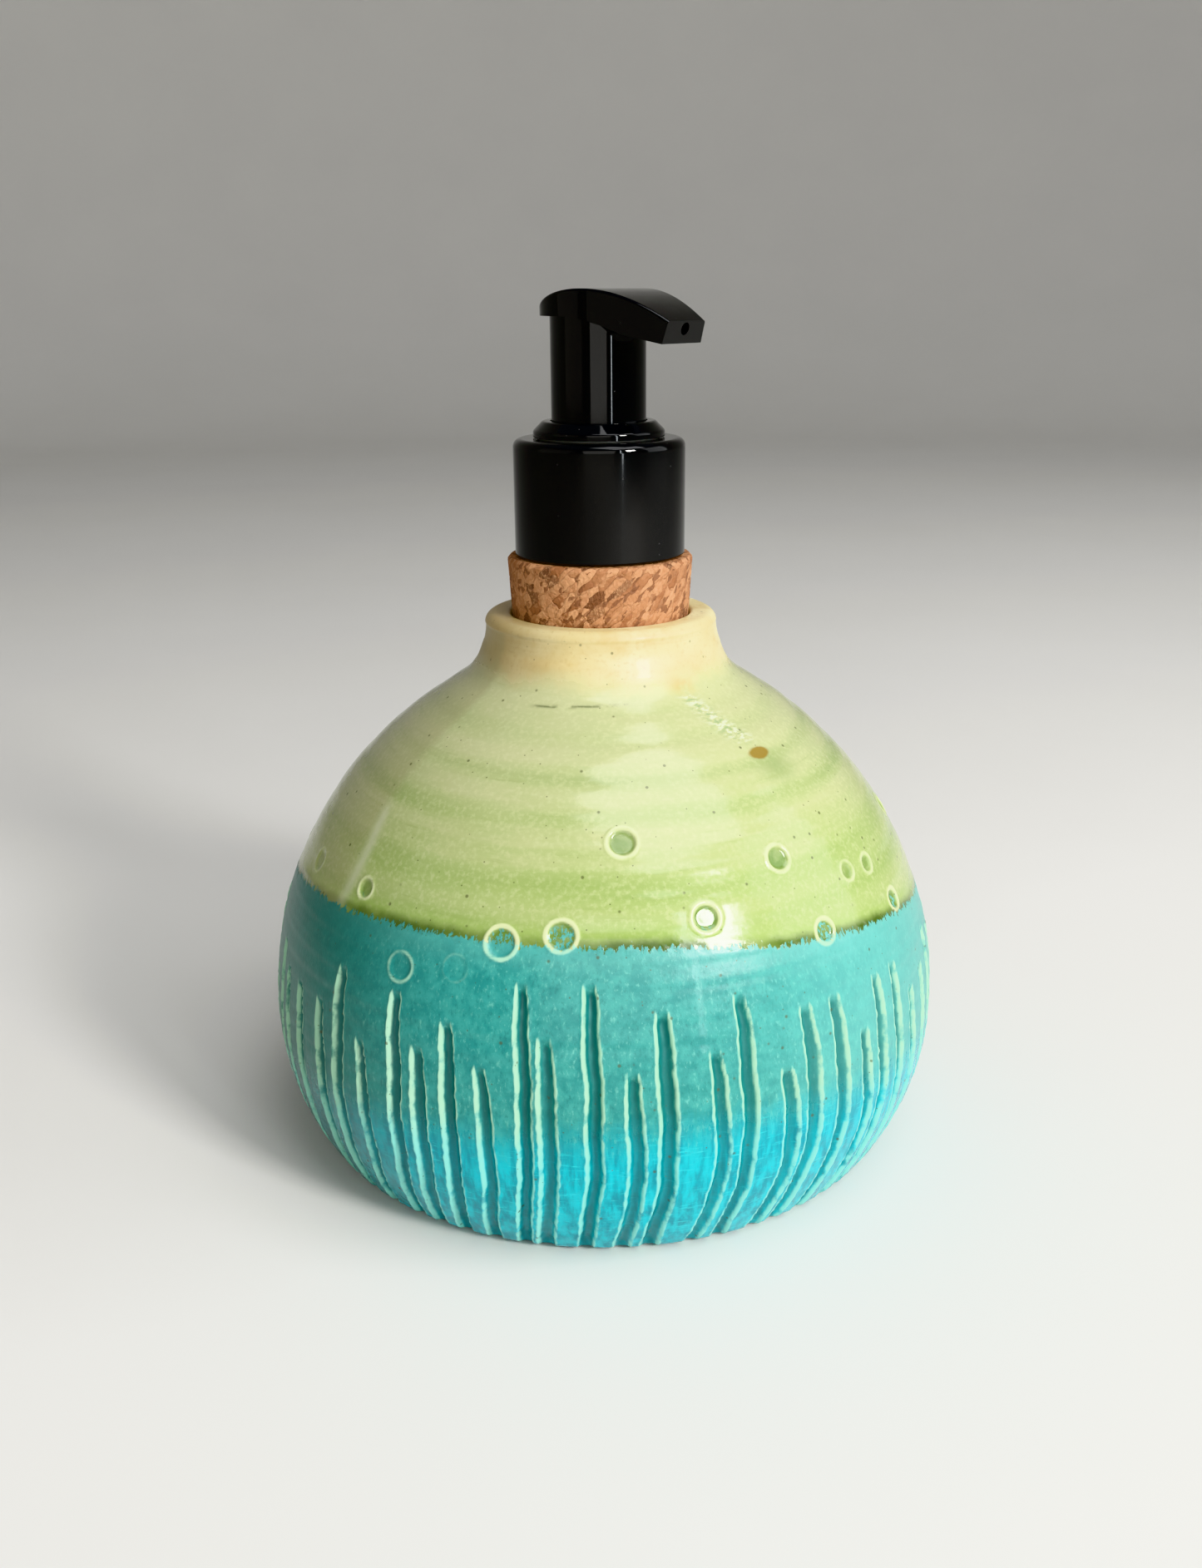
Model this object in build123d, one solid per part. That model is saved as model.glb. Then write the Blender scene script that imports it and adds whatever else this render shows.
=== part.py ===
from build123d import *
import os
from math import sqrt, tan, radians

# Soap pump dispenser: a thrown stoneware bottle, a cork stopper and a lotion pump.
# Millimetres, +Z up. The origin is on the bottle's axis, on the surface it stands on.

# Bottle. The outer and inner body are each two arcs that meet at the belly.
belly_radius = 55.8
belly_height = 22.9
shoulder_arc = 60.0
foot_arc = 38.2
wall = 4.5
floor_thickness = 5.0
foot_edge = 1.5
floor_edge = 8.0
neck_foot_height = 77.6
neck_fillet = 11.0
rim_radius = 18.1
rim_height = 87.2
rim_outer_edge = 1.6
rim_inner_edge = 0.8

# Cork stopper, a plug with a taper that wedges in the bottle's mouth.
cork_top = 96.2
cork_bottom = 71.0
cork_radius = 14.85
cork_half_angle = 3.5
cork_edge = 0.5
wedge_clearance = 0.03

# Closure, a 24/410 screw neck.
thread_pitch = 3.175
thread_turns = 1.5
thread_root_width = 1.6
thread_crest_width = 0.9
thread_start = 100.0
thread_merge = 0.3
insert_bottom = 74.0
insert_top = 111.4
insert_radius = 10.8
insert_bore = 9.55
insert_thread_radius = 11.85
collar_bottom = 96.4
collar_top = 114.4
collar_radius = 13.5
collar_inner_radius = 12.15
collar_thread_radius = 11.15
collar_ceiling = 113.25
collar_hole = 9.6
collar_edge = 1.3
collar_lower_edge = 0.3
gasket_top = 112.4
flange_top = 113.2
flange_radius = 11.6
gasket_clearance = 0.1

# Pump body. The cup takes the sliding skirt and the barrel takes the piston.
cup_radius = 9.3
cup_bore = 8.15
cup_top = 114.6
cup_floor = 97.6
barrel_radius = 6.4
barrel_bore = 5.4
barrel_floor = 66.0
ball_room_radius = 3.0
seat_height = 60.4
seat_radius = 1.6
socket_radius = 3.6
socket_bottom = 50.0
socket_top = 59.6
seat_cone = 2.0
barrel_cone = 2.0
cup_cone = 3.0
cup_base = 2.0
ring_radius = 10.3
ring_step = 115.5
ring_shoulder = 8.8
ring_top = 117.0
ring_edge = 0.6
ring_bore = 7.6
ring_floor = 99.0
guide_hole = 3.75

# Dip tube
tube_radius = 2.6
tube_bore = 1.9
tube_end = 8.0
tube_cut = 3.0
tube_cut_angle = 30.0

# Plunger
stroke = 12.5
stroke_margin = 0.4
rod_radius = 2.5
rod_point = 0.4
rod_point_height = 0.6
rod_bottom = 84.0
rod_top = 104.0
rod_flange_radius = 4.5
rod_flange_bottom = 88.6
rod_flange_top = 89.8
rod_channel = 1.2
stem_radius = 3.5
stem_bore = 2.2
stem_bottom = 96.85
stem_top = 130.5
piston_radius = 5.35
piston_bore = 2.55
piston_bottom = 89.85
piston_top = 96.0
piston_lip = 1.0
piston_waist = 0.35
spring_wire = 0.8
spring_radius = 3.9
spring_turns = 6
spring_end_gap = 0.05
retainer_top = 67.2
retainer_clearance = 0.05
slot_count = 4
slot_distance = 2.2
slot_length = 1.6
slot_width = 1.0
ball_radius = 2.4
ball_clearance = 0.02

# Actuator head. Stations run along the nozzle from the pump's axis.
nozzle_heading = -40.0
skirt_radius = 7.4
skirt_bore = 6.5
skirt_bottom = 112.6
boss_radius = 4.7
boss_bore = 3.53
boss_bottom = 118.0
saddle_radius = 8.9
nozzle_reach = 17.0
nozzle_half_width = 4.2
nozzle_bore = 0.9
channel_start = 133.5
channel_end = 130.6
tail_top = 133.1
tail_bottom = 132.6
peak_station = 2.0
peak_height = 136.4
tip_top = 131.8
throat_bottom = ring_top + stroke + stroke_margin
tip_bottom = 128.6
tip_undercut = 1.0
throat_station = 9.8
haunch_station = 6.5
haunch_bottom = 131.2
saddle_bottom = 132.5
saddle_edge = 0.5
tail_slope = (1.0, 0.5)
tip_slope = (1.0, -0.62)
edge_tolerance = 0.01


def body_radius(height, inset=0.0):
    """Radius of the bottle's outer surface, or of the one that lies inset inside it."""
    arc = shoulder_arc if height > belly_height else foot_arc
    return belly_radius - arc + sqrt((arc - inset) ** 2 - (height - belly_height) ** 2)


def cork_radius_at(height):
    """Radius of the tapered stopper at a height."""
    return cork_radius - (cork_top - height) * tan(radians(cork_half_angle))


def turned(*edges):
    """The solid that a closed half section, given as (radius, height) edges, sweeps about Z."""
    section = make_face(Plane.XZ * (Curve() + list(edges)))
    return revolve(section, Axis.Z, 360)


def turned_polygon(*points):
    """The solid that a closed polygon of (radius, height) points sweeps about Z."""
    return turned(Polyline(*points, close=True))


def tube(outer, inner, bottom, top):
    """A plain round tube about Z."""
    return turned_polygon((inner, bottom), (outer, bottom), (outer, top), (inner, top))


def circles_at(part, radius, height):
    """The round edges of a part that have a radius and lie at a height."""
    rings = part.edges().filter_by(GeomType.CIRCLE)
    same_size = [e for e in rings if abs(e.radius - radius) < edge_tolerance]
    return [e for e in same_size if abs(e.center().Z - height) < edge_tolerance]


def body_arc(low, high, inset=0.0):
    """The arc of the bottle's half section between two heights on one side of the belly."""
    middle = (low + high) / 2
    return ThreePointArc(
        (body_radius(low, inset), low),
        (body_radius(middle, inset), middle),
        (body_radius(high, inset), high),
    )


def ceramic_bottle():
    """The stoneware bottle: flat foot, round body, short neck and a tapered mouth."""
    neck_foot = (body_radius(neck_foot_height), neck_foot_height)
    foot = (body_radius(0), 0)
    outer = [
        Line((0, 0), foot),
        body_arc(0, belly_height),
        body_arc(belly_height, neck_foot_height),
        Line(neck_foot, (rim_radius, rim_height)),
        Line((rim_radius, rim_height), (0, rim_height)),
        Line((0, rim_height), (0, 0)),
    ]
    solid = turned(*outer)
    solid = fillet(circles_at(solid, neck_foot[0], neck_foot_height), neck_fillet)
    solid = fillet(circles_at(solid, foot[0], 0), foot_edge)
    solid = fillet(circles_at(solid, rim_radius, rim_height), rim_outer_edge)
    ceiling = neck_foot_height - wall
    floor_radius = body_radius(floor_thickness, wall)
    cavity = turned(
        Line((0, floor_thickness), (floor_radius, floor_thickness)),
        body_arc(floor_thickness, belly_height, wall),
        body_arc(belly_height, ceiling, wall),
        Line((body_radius(ceiling, wall), ceiling), (0, ceiling)),
        Line((0, ceiling), (0, floor_thickness)),
    )
    cavity = fillet(circles_at(cavity, floor_radius, floor_thickness), floor_edge)
    bore = turned_polygon(
        (0, ceiling - wall),
        (cork_radius_at(ceiling - wall) + wedge_clearance, ceiling - wall),
        (cork_radius_at(rim_height) + wedge_clearance, rim_height),
        (0, rim_height),
    )
    solid = solid - cavity - bore
    mouth = cork_radius_at(rim_height) + wedge_clearance
    return fillet(circles_at(solid, mouth, rim_height), rim_inner_edge)


def cork_stopper():
    """The tapered cork, bored for the screw neck."""
    lower_radius = cork_radius_at(cork_bottom)
    plug = turned_polygon(
        (insert_radius, cork_bottom),
        (lower_radius, cork_bottom),
        (cork_radius, cork_top),
        (insert_radius, cork_top),
    )
    outer_edges = circles_at(plug, cork_radius, cork_top) + circles_at(plug, lower_radius, cork_bottom)
    return chamfer(outer_edges, cork_edge)


def thread_ridge(root_radius, crest_radius, start):
    """One helical ridge, joined to a wall at root_radius and standing out to crest_radius."""
    outwards = 1 if crest_radius > root_radius else -1
    path = Helix(thread_pitch, thread_pitch * thread_turns, root_radius, center=(0, 0, start))
    height = abs(crest_radius - root_radius)
    half_root = thread_root_width / 2
    half_crest = thread_crest_width / 2
    section = Polyline(
        (-outwards * thread_merge, -half_root),
        (-outwards * thread_merge, half_root),
        (outwards * height, half_crest),
        (outwards * height, -half_crest),
        close=True,
    )
    start_plane = Plane(origin=path @ 0, x_dir=(1, 0, 0), z_dir=path % 0)
    return sweep(start_plane * make_face(section), path, is_frenet=True)


def neck_insert():
    """The screw neck glued into the cork."""
    neck = tube(insert_radius, insert_bore, insert_bottom, insert_top)
    return neck + thread_ridge(insert_radius, insert_thread_radius, thread_start)


def screw_collar():
    """The smooth closure that screws down and clamps the pump body's flange."""
    shell = turned_polygon(
        (collar_inner_radius, collar_bottom),
        (collar_radius, collar_bottom),
        (collar_radius, collar_top),
        (collar_hole, collar_top),
        (collar_hole, collar_ceiling),
        (collar_inner_radius, collar_ceiling),
    )
    shell = fillet(circles_at(shell, collar_radius, collar_top), collar_edge)
    shell = fillet(circles_at(shell, collar_radius, collar_bottom), collar_lower_edge)
    return shell + thread_ridge(collar_inner_radius, collar_thread_radius, thread_start + thread_pitch / 2)


def sealing_gasket():
    """The flat ring between the screw neck and the pump body's flange."""
    outer = flange_radius - gasket_clearance
    return tube(outer, cup_radius + gasket_clearance, insert_top, gasket_top)


def pump_housing():
    """The pump body: flange, cup, barrel, ball room and dip tube socket."""
    outer = turned_polygon(
        (0, socket_bottom),
        (socket_radius, socket_bottom),
        (socket_radius, seat_height),
        (barrel_radius, barrel_floor - barrel_cone),
        (barrel_radius, cup_floor - cup_base - cup_cone),
        (cup_radius, cup_floor - cup_base),
        (cup_radius, gasket_top),
        (flange_radius, gasket_top),
        (flange_radius, flange_top),
        (cup_radius, flange_top),
        (cup_radius, cup_top),
        (0, cup_top),
    )
    inner = turned_polygon(
        (0, socket_bottom),
        (tube_radius, socket_bottom),
        (tube_radius, socket_top),
        (seat_radius, socket_top),
        (seat_radius, seat_height),
        (ball_room_radius, seat_height + seat_cone),
        (ball_room_radius, barrel_floor),
        (barrel_bore, barrel_floor),
        (barrel_bore, cup_floor),
        (cup_bore, cup_floor),
        (cup_bore, cup_top),
        (0, cup_top),
    )
    return outer - inner


def lock_ring():
    """The domed ring on top of the closure, with the sleeve that guides the skirt."""
    ring = turned_polygon(
        (ring_bore, ring_floor),
        (cup_bore, ring_floor),
        (cup_bore, cup_top),
        (ring_radius, cup_top),
        (ring_radius, ring_step),
        (ring_shoulder, ring_top),
        (ring_bore, ring_top),
    )
    rounded = circles_at(ring, ring_radius, ring_step) + circles_at(ring, ring_shoulder, ring_top)
    return fillet(rounded, ring_edge)


def stem_guide():
    """The washer under the sleeve that guides the stem and keeps the piston in."""
    return tube(cup_bore, guide_hole, cup_floor, ring_floor)


def dip_tube():
    """The suction tube, cut at a slant at its lower end."""
    plain = tube(tube_radius, tube_bore, tube_end, socket_top)
    width = 8 * tube_radius
    blade = Pos(0, 0, tube_end) * Rot(0, tube_cut_angle, 0) * Box(width, width, tube_cut)
    return plain - blade


def ball_retainer():
    """The slotted washer that holds the ball down and the spring up."""
    washer = tube(barrel_bore - retainer_clearance, seat_radius, barrel_floor, retainer_top)
    slot = Box(slot_length, slot_width, 2 * (retainer_top - barrel_floor))
    slot = Pos(slot_distance, 0, (barrel_floor + retainer_top) / 2) * slot
    for turn in range(slot_count):
        washer -= Rot(0, 0, 360 / slot_count * turn) * slot
    return washer


def inlet_ball():
    """The ball of the inlet valve, at rest on its conical seat."""
    slope = (ball_room_radius - seat_radius) / seat_cone
    centre = seat_height - seat_radius / slope + ball_radius * sqrt(1 + slope**2) / slope
    return Pos(0, 0, centre + ball_clearance) * Sphere(ball_radius)


def lower_stem():
    """The piston rod, with the flange that closes the piston and the flow channel."""
    rod = turned_polygon(
        (0, rod_bottom),
        (rod_radius - rod_point, rod_bottom),
        (rod_radius, rod_bottom + rod_point_height),
        (rod_radius, rod_flange_bottom),
        (rod_flange_radius, rod_flange_bottom),
        (rod_flange_radius, rod_flange_top),
        (rod_radius, rod_flange_top),
        (rod_radius, stem_bottom),
        (stem_bore, stem_bottom),
        (stem_bore, rod_top),
        (0, rod_top),
    )
    channel_height = rod_top - rod_flange_top
    channel = Pos(0, 0, rod_flange_top + channel_height / 2) * Cylinder(rod_channel, channel_height)
    port = Rot(90, 0, 0) * Cylinder(rod_channel / 2, 3 * rod_radius)
    inlet = Pos(0, 0, rod_flange_top + rod_channel) * port
    return rod - channel - inlet


def upper_stem():
    """The hollow stem between the piston rod and the head."""
    return tube(stem_radius, stem_bore, stem_bottom, stem_top)


def return_spring():
    """The coil spring that lifts the plunger."""
    free_height = rod_flange_bottom - retainer_top - spring_wire - 2 * spring_end_gap
    path = Helix(free_height / spring_turns, free_height, spring_radius)
    path = Pos(0, 0, retainer_top + spring_wire / 2 + spring_end_gap) * path
    section = Plane(origin=path @ 0, z_dir=path % 0) * Circle(spring_wire / 2)
    return sweep(section, path, is_frenet=True)


def piston():
    """The sliding seal, with a wiping lip at each end."""
    waist_radius = piston_radius - piston_waist
    return turned_polygon(
        (piston_bore, piston_bottom),
        (piston_radius, piston_bottom),
        (piston_radius, piston_bottom + piston_lip),
        (waist_radius, piston_bottom + 2 * piston_lip),
        (waist_radius, piston_top - 2 * piston_lip),
        (piston_radius, piston_top - piston_lip),
        (piston_radius, piston_top),
        (piston_bore, piston_top),
    )


def saddle():
    """The head's curved top plate and nozzle, pointing along +X."""
    side = make_face(
        Plane.XZ
        * (
            Curve()
            + [
                Line((-saddle_radius, tail_bottom), (-saddle_radius, tail_top)),
                Spline(
                    (-saddle_radius, tail_top),
                    (peak_station, peak_height),
                    (nozzle_reach, tip_top),
                    tangents=[tail_slope, tip_slope],
                ),
                Line((nozzle_reach, tip_top), (nozzle_reach - tip_undercut, tip_bottom)),
                Line((nozzle_reach - tip_undercut, tip_bottom), (throat_station, throat_bottom)),
                Line((throat_station, throat_bottom), (haunch_station, haunch_bottom)),
                Line((haunch_station, haunch_bottom), (peak_station, saddle_bottom)),
                Line((peak_station, saddle_bottom), (-saddle_radius, tail_bottom)),
            ]
        )
    )
    slab = extrude(side, saddle_radius, both=True)
    taper = Polyline(
        (0, saddle_radius),
        (nozzle_reach + 1, nozzle_half_width),
        (nozzle_reach + 1, -nozzle_half_width),
        (0, -saddle_radius),
        close=True,
    )
    plan = make_face(taper) + Circle(saddle_radius)
    outline = extrude(Pos(0, 0, skirt_bottom) * plan, peak_height)
    plate = slab & outline
    top_edges = plate.edges().filter_by(GeomType.BSPLINE)
    outline_edges = [e for e in top_edges if abs(e.center().Y) > edge_tolerance]
    return fillet(outline_edges, saddle_edge)


def actuator_head():
    """The head: saddle, nozzle with its channel, sliding skirt and stem boss."""
    skirt = turned_polygon(
        (skirt_bore, skirt_bottom),
        (skirt_radius, skirt_bottom),
        (skirt_radius, saddle_bottom),
        (0, saddle_bottom),
        (0, stem_top),
        (skirt_bore, stem_top),
    )
    boss = tube(boss_radius, boss_bore, boss_bottom, stem_top + 0.5)
    along = Plane((0, 0, channel_start), z_dir=(nozzle_reach, 0, channel_end - channel_start))
    from_start = (Align.CENTER, Align.CENTER, Align.MIN)
    channel = along * Cylinder(nozzle_bore, 2 * nozzle_reach, align=from_start)
    chamber = Pos(0, 0, skirt_bottom) * Cylinder(stem_bore, channel_start - skirt_bottom, align=from_start)
    head = saddle() + skirt + boss - channel - chamber
    return Rot(0, 0, nozzle_heading) * head


NODES = {
    "ceramic_bottle": ceramic_bottle,
    "cork_stopper": cork_stopper,
    "neck_insert": neck_insert,
    "screw_collar": screw_collar,
    "sealing_gasket": sealing_gasket,
    "pump_housing": pump_housing,
    "lock_ring": lock_ring,
    "stem_guide": stem_guide,
    "dip_tube": dip_tube,
    "ball_retainer": ball_retainer,
    "inlet_ball": inlet_ball,
    "lower_stem": lower_stem,
    "upper_stem": upper_stem,
    "return_spring": return_spring,
    "piston": piston,
    "actuator_head": actuator_head,
}

os.makedirs("parts", exist_ok=True)
for name, make in NODES.items():
    part = make()
    part.label = name
    export_step(part, f"parts/{name}.step")
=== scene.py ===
import math

import bpy
import numpy as np
from mathutils import Euler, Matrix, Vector, noise


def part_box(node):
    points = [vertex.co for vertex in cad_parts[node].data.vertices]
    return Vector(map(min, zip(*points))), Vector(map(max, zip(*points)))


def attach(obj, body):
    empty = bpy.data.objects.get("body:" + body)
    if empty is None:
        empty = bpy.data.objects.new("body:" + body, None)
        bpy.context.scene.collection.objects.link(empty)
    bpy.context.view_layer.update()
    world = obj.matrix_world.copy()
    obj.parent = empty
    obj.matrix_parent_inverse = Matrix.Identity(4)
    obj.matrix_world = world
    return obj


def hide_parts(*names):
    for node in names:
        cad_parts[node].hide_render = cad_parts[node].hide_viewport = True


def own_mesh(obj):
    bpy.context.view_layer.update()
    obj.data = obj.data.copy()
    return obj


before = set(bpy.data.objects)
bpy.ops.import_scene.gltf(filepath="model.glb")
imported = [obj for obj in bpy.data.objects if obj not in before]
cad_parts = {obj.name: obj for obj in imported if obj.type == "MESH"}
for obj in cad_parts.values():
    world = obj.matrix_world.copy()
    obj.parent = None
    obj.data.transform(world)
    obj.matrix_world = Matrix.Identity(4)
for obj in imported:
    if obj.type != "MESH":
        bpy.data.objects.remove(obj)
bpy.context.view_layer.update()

MM = 0.001
TAU = 2 * math.pi

# ---------------------------------------------------------------- sizes
bottle_low, bottle_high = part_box("ceramic_bottle")
cork_low, cork_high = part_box("cork_stopper")

BELLY_RADIUS = (bottle_high[0] - bottle_low[0]) / 2
RIM_HEIGHT = bottle_high[2]
BELLY_HEIGHT = 22.9 * MM
SHOULDER_ARC = 60.0 * MM
FOOT_ARC = 38.2 * MM
WALL = 4.5 * MM
FLOOR_HEIGHT = 5.0 * MM
FOOT_EDGE = 1.5 * MM
FOOT_RECESS = 0.9 * MM
FOOT_RING_INSIDE = 38.0 * MM
RIM_RADIUS = 18.1 * MM
RIM_ROUND = 1.6 * MM
MOUTH_ROUND = 0.8 * MM
NECK_SLOPE = 0.248
NECK_BLEND = 4.0 * MM
CORK_RADIUS = (cork_high[0] - cork_low[0]) / 2
CORK_TAPER = math.tan(math.radians(3.5))

FLUTE_DEPTH = 1.1 * MM
FLUTE_HALF_WIDTH = 1.25 * MM
FLUTE_BURR = 0.12 * MM
WALL_SET_BACK = 0.42 * MM
THROWING_DEPTH = 0.11 * MM
FINE_RING_DEPTH = 0.02 * MM
DENT_DEPTH = 0.07 * MM
GLAZE_STEP = 0.09 * MM
GLAZE_ROLL = 0.07 * MM
STAMP_RAISED = 0.12 * MM
STAMP_SUNK = 0.30 * MM
MOUTH_GAP = 0.06 * MM
INSIDE_CEILING = 74.5 * MM
FLOOR_ROUND = 8 * MM
NECK_INSIDE = 12 * MM
CORK_BORE = 10.8 * MM
CORK_EDGE = 0.5 * MM
WALL_COLUMNS = 1280
FOOT_ROWS = 60
LIP_ROWS = 32
CORK_COLUMNS = 640


# ---------------------------------------------------------------- small helpers
def smooth(low, high, value):
    """0 below low, 1 above high, and smooth between them."""
    t = np.clip((value - low) / (high - low), 0, 1)
    return t * t * (3 - 2 * t)


def bump_at(value, centre, width):
    """A bell of height 1 round centre."""
    return np.exp(-(((value - centre) / width) ** 2))


def turn_between(angle, centre):
    """Signed difference of two angles in radians, wrapped to half a turn."""
    return (angle - centre + math.pi) % TAU - math.pi


def waves(angle, height, seed, count, turns, pitch):
    """Smooth noise on the wall: waves that close round the pot, of about that pitch in height."""
    source = np.random.default_rng(seed)
    total = np.zeros(np.broadcast(angle, height).shape)
    for _ in range(count):
        around = source.integers(0, turns + 1)
        up = TAU / (pitch * source.uniform(0.6, 1.8))
        total += np.sin(around * angle + up * height + source.uniform(0, TAU))
    return total / math.sqrt(count)


def mesh_object(name, points, faces):
    """A mesh object from an array of points and an array of quads."""
    mesh = bpy.data.meshes.new(name)
    mesh.vertices.add(len(points))
    mesh.vertices.foreach_set("co", np.ascontiguousarray(points, dtype=np.float32).ravel())
    mesh.loops.add(faces.size)
    mesh.loops.foreach_set("vertex_index", np.ascontiguousarray(faces, dtype=np.int32).ravel())
    mesh.polygons.add(len(faces))
    mesh.polygons.foreach_set("loop_start", np.arange(0, faces.size, faces.shape[1], dtype=np.int32))
    mesh.update(calc_edges=True)
    mesh.validate()
    mesh.polygons.foreach_set("use_smooth", np.ones(len(faces), dtype=bool))
    made = bpy.data.objects.new(name, mesh)
    bpy.context.scene.collection.objects.link(made)
    return made


def ring_faces(rows, columns):
    """Quads of a grid that closes round on itself along its columns."""
    row = np.arange(rows - 1)[:, None] * columns
    this = np.arange(columns)[None, :]
    following = (this + 1) % columns
    corners = [row + this, row + following, row + columns + following, row + columns + this]
    return np.stack(corners, -1).reshape(-1, 4)


def turned_object(name, radius, height, columns, offset=None):
    """A turned object from a profile of radius and height, with offset (rows, columns) along its normal."""
    radius, height = np.asarray(radius), np.asarray(height)
    along = np.stack([np.gradient(radius), np.gradient(height)])
    along /= np.maximum(np.hypot(*along), 1e-12)
    angle = np.arange(columns) / columns * TAU
    out = np.zeros((len(radius), columns)) if offset is None else offset
    r = radius[:, None] + out * along[1][:, None]
    z = height[:, None] - out * along[0][:, None]
    points = np.stack([r * np.sin(angle), -r * np.cos(angle), z + 0 * r], -1)
    return mesh_object(name, points.reshape(-1, 3), ring_faces(len(radius), columns))


def set_attribute(piece, name, values):
    """Stores one number for each vertex, for the materials to read."""
    layer = piece.data.attributes.new(name, "FLOAT", "POINT")
    layer.data.foreach_set("value", np.ascontiguousarray(values, dtype=np.float32).ravel())


def arc_points(centre, radius, start, end, count):
    """Points of an arc in a profile, from one angle to another in degrees."""
    a = np.radians(np.linspace(start, end, count))
    return centre[0] + radius * np.cos(a), centre[1] + radius * np.sin(a)


# ---------------------------------------------------------------- material nodes
class Shader:
    """Builds one material's nodes. Values are plain numbers, colours or sockets."""

    def __init__(self, name):
        self.material = bpy.data.materials.new(name)
        self.material.use_nodes = True
        self.tree = self.material.node_tree
        self.tree.nodes.clear()
        self.output = self.tree.nodes.new("ShaderNodeOutputMaterial")
        self.position = self.tree.nodes.new("ShaderNodeTexCoord").outputs["Object"]

    def put(self, socket, value):
        if isinstance(value, bpy.types.NodeSocket):
            self.tree.links.new(value, socket)
        elif socket.type == "RGBA" and len(value) == 3:
            socket.default_value = (*value, 1)
        else:
            socket.default_value = value

    def node(self, kind, settings=None, **inputs):
        made = self.tree.nodes.new("ShaderNode" + kind)
        for key, value in (settings or {}).items():
            setattr(made, key, value)
        for key, value in inputs.items():
            self.put(made.inputs[key.replace("_", " ")], value)
        return made

    def attribute(self, name):
        return self.node("Attribute", {"attribute_name": name}).outputs["Fac"]

    def math(self, operation, first, second):
        made = self.node("Math", {"operation": operation})
        self.put(made.inputs[0], first)
        self.put(made.inputs[1], second)
        return made.outputs[0]

    def add(self, *terms):
        total = terms[0]
        for term in terms[1:]:
            total = self.math("ADD", total, term)
        return total

    def times(self, *terms):
        total = terms[0]
        for term in terms[1:]:
            total = self.math("MULTIPLY", total, term)
        return total

    def ramp(self, value, low, high, out_low=0.0, out_high=1.0):
        made = self.node("MapRange", {"interpolation_type": "SMOOTHSTEP"})
        for key, number in zip(range(5), (value, low, high, out_low, out_high)):
            self.put(made.inputs[key], number)
        return made.outputs[0]

    def mix(self, amount, first, second):
        made = self.node("Mix", {"data_type": "RGBA"})
        self.put(made.inputs[0], amount)
        self.put(made.inputs[6], first)
        self.put(made.inputs[7], second)
        return made.outputs[2]

    def scaled(self, x, y, z):
        """The object's own coordinates, stretched."""
        return self.node("Mapping", Vector=self.position, Scale=(x, y, z)).outputs[0]

    def noise(self, scale, detail=3.0, roughness=0.55, vector=None, distortion=0.0):
        made = self.node("TexNoise", Vector=vector or self.position, Scale=scale, Detail=detail,
                         Roughness=roughness, Distortion=distortion)
        return made.outputs["Fac"]

    def cells(self, scale, feature="F1", vector=None):
        return self.node("TexVoronoi", {"feature": feature}, Vector=vector or self.position, Scale=scale)

    def bump(self, height, strength, distance):
        return self.node("Bump", Height=height, Strength=strength, Distance=distance).outputs[0]

    def principled(self, **inputs):
        made = self.node("BsdfPrincipled", **inputs)
        self.tree.links.new(made.outputs[0], self.output.inputs[0])
        return self.material


# ---------------------------------------------------------------- bottle shape
def body_radius(height, inset=0.0):
    """Radius of the round body's outer face, or of the face that lies inset inside it."""
    arc = np.where(height > BELLY_HEIGHT, SHOULDER_ARC, FOOT_ARC)
    square = (arc - inset) ** 2 - (height - BELLY_HEIGHT) ** 2
    return BELLY_RADIUS - arc + np.sqrt(np.maximum(square, 1e-8))


def outer_radius(height):
    """Radius of the outer face from the foot's edge to the rim, with the neck blended in."""
    body = body_radius(height)
    neck = RIM_RADIUS + NECK_SLOPE * (RIM_HEIGHT - height)
    joined = (body + neck + np.sqrt((body - neck) ** 2 + NECK_BLEND**2)) / 2
    round_in = np.maximum(FOOT_EDGE - height, 0) / FOOT_EDGE
    return joined - FOOT_EDGE * (1 - np.sqrt(np.maximum(1 - round_in**2, 0)))


def cork_radius_at(height):
    """Radius of the stopper's taper at a height."""
    return CORK_RADIUS - (cork_high[2] - height) * CORK_TAPER


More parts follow.
